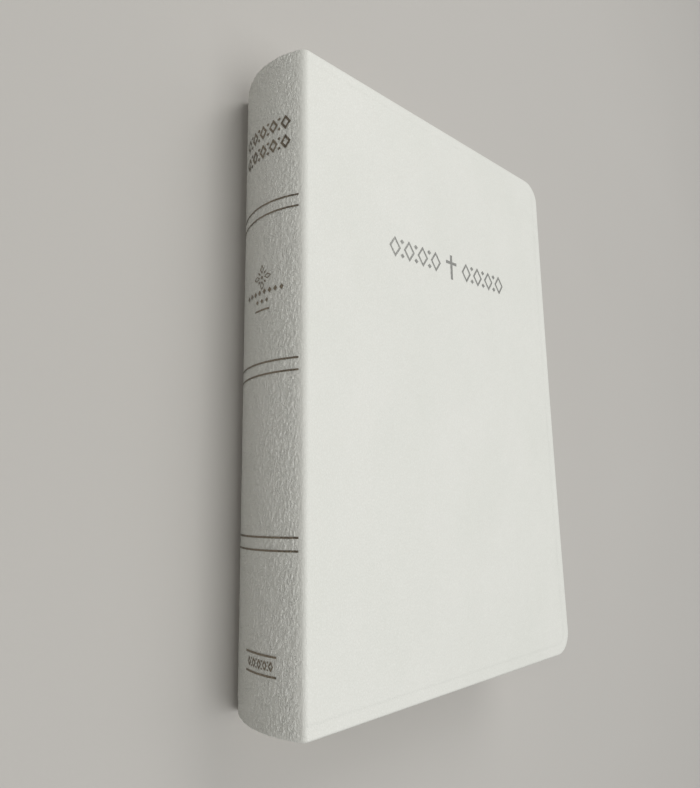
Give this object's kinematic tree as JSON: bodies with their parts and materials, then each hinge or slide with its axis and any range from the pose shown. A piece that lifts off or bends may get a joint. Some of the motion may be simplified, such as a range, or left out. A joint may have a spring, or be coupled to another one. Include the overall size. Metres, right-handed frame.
{
  "type": "bible",
  "caption": "Closed bible with flexible white imitation-leather covers, rounded spine with silver foil rules, and a thick glued text block that opens.",
  "frame": {"origin": "centre of the closed book's footprint, on the surface that the back cover rests on", "axes": "+X to the fore edge (the spine is at -X), +Y to the head of the book, +Z out of the front cover"},
  "size_m": [0.1446, 0.213, 0.036],
  "materials": {
    "cover_skin": "satin grained",
    "board": "matte",
    "hinge_cloth": "matte open weave",
    "endpaper": "matte",
    "lining_paper": "matte",
    "spine_glue": "satin",
    "headband": "matte",
    "silver_foil": "metallic satin",
    "pages": "matte"
  },
  "bodies": {
    "rear_block": {"spine_skin": "cover_skin", "spine_inlay": "board", "spine_lining": "lining_paper", "spine_mull": "hinge_cloth", "spine_glue": "spine_glue", "headband_head": "headband", "headband_tail": "headband", "spine_rule_foil": "silver_foil", "spine_head_foil": "silver_foil", "spine_emblem_foil": "silver_foil", "spine_foot_foil": "silver_foil", "section_01": "pages", "section_02": "pages", "section_03": "pages", "section_04": "pages", "section_05": "pages"},
    "lower_middle_block": {"section_06": "pages", "section_07": "pages", "section_08": "pages", "section_09": "pages", "section_10": "pages"},
    "upper_middle_block": {"section_11": "pages", "section_12": "pages", "section_13": "pages", "section_14": "pages", "section_15": "pages"},
    "front_block": {"section_16": "pages", "section_17": "pages", "section_18": "pages", "section_19": "pages", "section_20": "pages"},
    "front_flyleaf": {"front_flyleaf": "endpaper"},
    "back_flyleaf": {"back_flyleaf": "endpaper"},
    "front_cover": {"front_cover_skin": "cover_skin", "front_cover_board": "board", "front_hinge_cloth": "hinge_cloth", "front_pastedown": "endpaper", "front_foil_ornament": "silver_foil"},
    "back_cover": {"back_cover_skin": "cover_skin", "back_cover_board": "board", "back_hinge_cloth": "hinge_cloth", "back_pastedown": "endpaper"}
  },
  "joints": [
    {"name": "front_cover_hinge", "type": "hinge", "parent": "front_block", "child": "front_cover", "pos_m": [-0.06613, 0, 0.0349], "axis": [0, -1, 0], "range_deg": [0, 180]},
    {"name": "back_cover_hinge", "type": "hinge", "parent": "rear_block", "child": "back_cover", "pos_m": [-0.06613, 0, 0.0011], "axis": [0, 1, 0], "range_deg": [0, 180]},
    {"name": "block_opening_rear", "type": "hinge", "parent": "rear_block", "child": "lower_middle_block", "pos_m": [-0.07126, 0, 0.01027], "axis": [0, 1, 0], "range_deg": [-15, 0]},
    {"name": "block_opening_middle", "type": "hinge", "parent": "lower_middle_block", "child": "upper_middle_block", "pos_m": [-0.07222, 0, 0.018], "axis": [0, 1, 0], "range_deg": [-150, 0], "deforming": ["spine_skin", "spine_inlay", "spine_lining", "spine_mull", "spine_glue", "headband_head", "headband_tail", "spine_rule_foil", "spine_head_foil", "spine_emblem_foil", "spine_foot_foil"]},
    {"name": "block_opening_front", "type": "hinge", "parent": "upper_middle_block", "child": "front_block", "pos_m": [-0.07126, 0, 0.02573], "axis": [0, 1, 0], "range_deg": [-15, 0]},
    {"name": "front_flyleaf_turn", "type": "hinge", "parent": "front_block", "child": "front_flyleaf", "pos_m": [-0.06468, 0, 0.0336], "axis": [0, -1, 0], "range_deg": [0, 36]},
    {"name": "back_flyleaf_turn", "type": "hinge", "parent": "rear_block", "child": "back_flyleaf", "pos_m": [-0.06468, 0, 0.0024], "axis": [0, 1, 0], "range_deg": [0, 36]}
  ],
  "couplings": [
    {"joint": "front_flyleaf_turn", "follows": "front_cover_hinge", "ratio": 0.2},
    {"joint": "back_flyleaf_turn", "follows": "back_cover_hinge", "ratio": 0.2}
  ]
}
